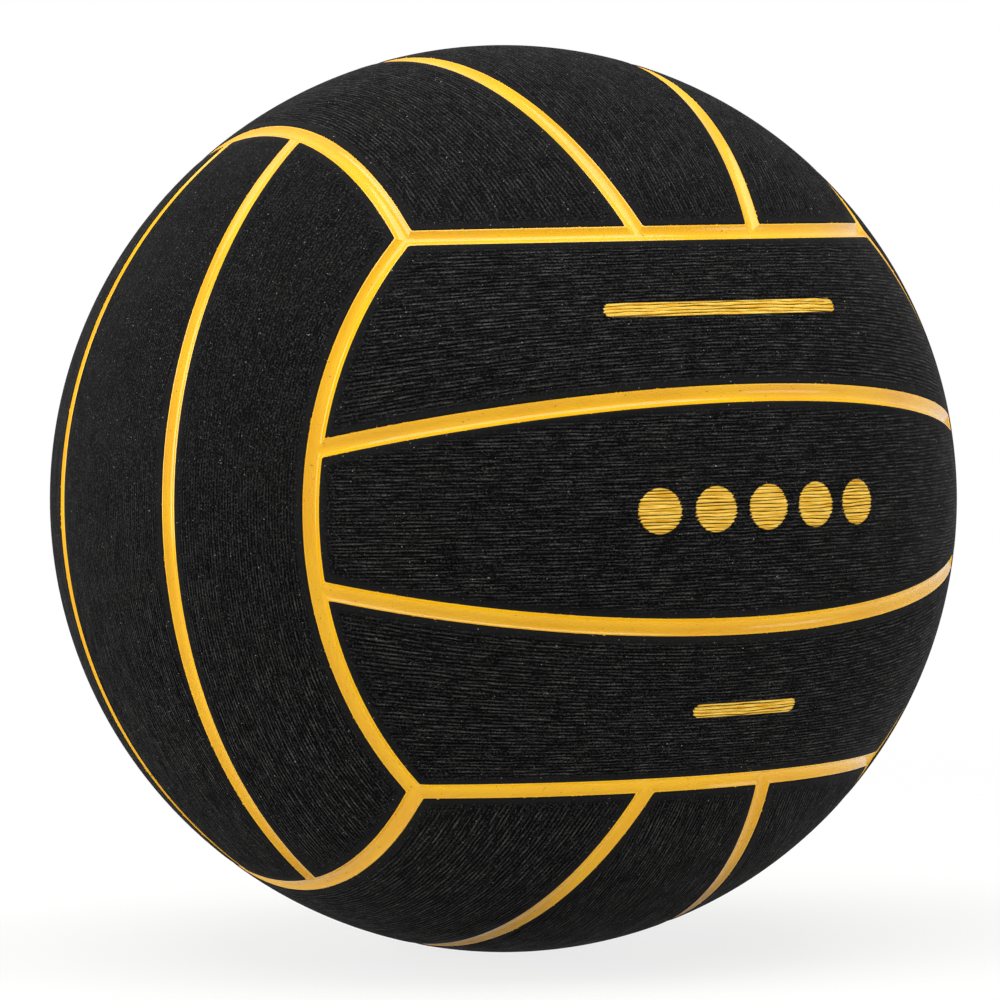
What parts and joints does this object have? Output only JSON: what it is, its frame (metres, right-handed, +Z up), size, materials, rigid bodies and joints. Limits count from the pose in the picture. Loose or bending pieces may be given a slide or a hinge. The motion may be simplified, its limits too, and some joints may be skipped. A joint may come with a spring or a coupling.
{
  "type": "water polo ball",
  "caption": "Round ribbed rubber ball for water polo, with channelled seam strips between its panels, a wound and lined hollow body, and a needle valve with a plug that pulls out.",
  "frame": {"origin": "centre of the ball", "axes": "+Z up as the ball lies in the picture, -Y out of the middle of the front group of panels, +Y out of the valve in the back group, +X to the right of the front group"},
  "size_m": [0.22, 0.2199, 0.22],
  "materials": {
    "panel_rubber": "matte black rubber with fine moulded ribs",
    "seam_rubber": "semi-gloss golden yellow rubber",
    "carcass_rubber": "matte dark grey rubber sheet",
    "wound_thread": "off-white nylon thread set in latex",
    "bladder_rubber": "smooth black butyl rubber",
    "valve_rubber": "satin black moulded rubber",
    "plug_rubber": "satin dark grey moulded rubber"
  },
  "bodies": {
    "ball": {"front_lower_panel": "panel_rubber", "front_middle_panel": "panel_rubber", "front_upper_panel": "panel_rubber", "back_lower_panel": "panel_rubber", "back_middle_panel": "panel_rubber", "back_upper_panel": "panel_rubber", "left_front_panel": "panel_rubber", "left_middle_panel": "panel_rubber", "left_back_panel": "panel_rubber", "right_front_panel": "panel_rubber", "right_middle_panel": "panel_rubber", "right_back_panel": "panel_rubber", "top_left_panel": "panel_rubber", "top_middle_panel": "panel_rubber", "top_right_panel": "panel_rubber", "bottom_left_panel": "panel_rubber", "bottom_middle_panel": "panel_rubber", "bottom_right_panel": "panel_rubber", "front_lower_seam_strip": "seam_rubber", "front_upper_seam_strip": "seam_rubber", "back_lower_seam_strip": "seam_rubber", "back_upper_seam_strip": "seam_rubber", "left_front_seam_strip": "seam_rubber", "left_back_seam_strip": "seam_rubber", "right_front_seam_strip": "seam_rubber", "right_back_seam_strip": "seam_rubber", "top_left_seam_strip": "seam_rubber", "top_right_seam_strip": "seam_rubber", "bottom_left_seam_strip": "seam_rubber", "bottom_right_seam_strip": "seam_rubber", "front_left_edge_strip": "seam_rubber", "front_right_edge_strip": "seam_rubber", "back_right_edge_strip": "seam_rubber", "back_left_edge_strip": "seam_rubber", "left_bottom_edge_strip": "seam_rubber", "left_top_edge_strip": "seam_rubber", "right_top_edge_strip": "seam_rubber", "right_bottom_edge_strip": "seam_rubber", "top_back_edge_strip": "seam_rubber", "top_front_edge_strip": "seam_rubber", "bottom_front_edge_strip": "seam_rubber", "bottom_back_edge_strip": "seam_rubber", "carcass": "carcass_rubber", "thread_winding": "wound_thread", "bladder": "bladder_rubber", "valve_housing": "valve_rubber"},
    "plug": {"valve_plug": "plug_rubber"}
  },
  "joints": [
    {"name": "valve_plug_pull", "type": "slide", "parent": "ball", "child": "plug", "axis": [0, 1, 0], "range_m": [0, 0.018]}
  ]
}
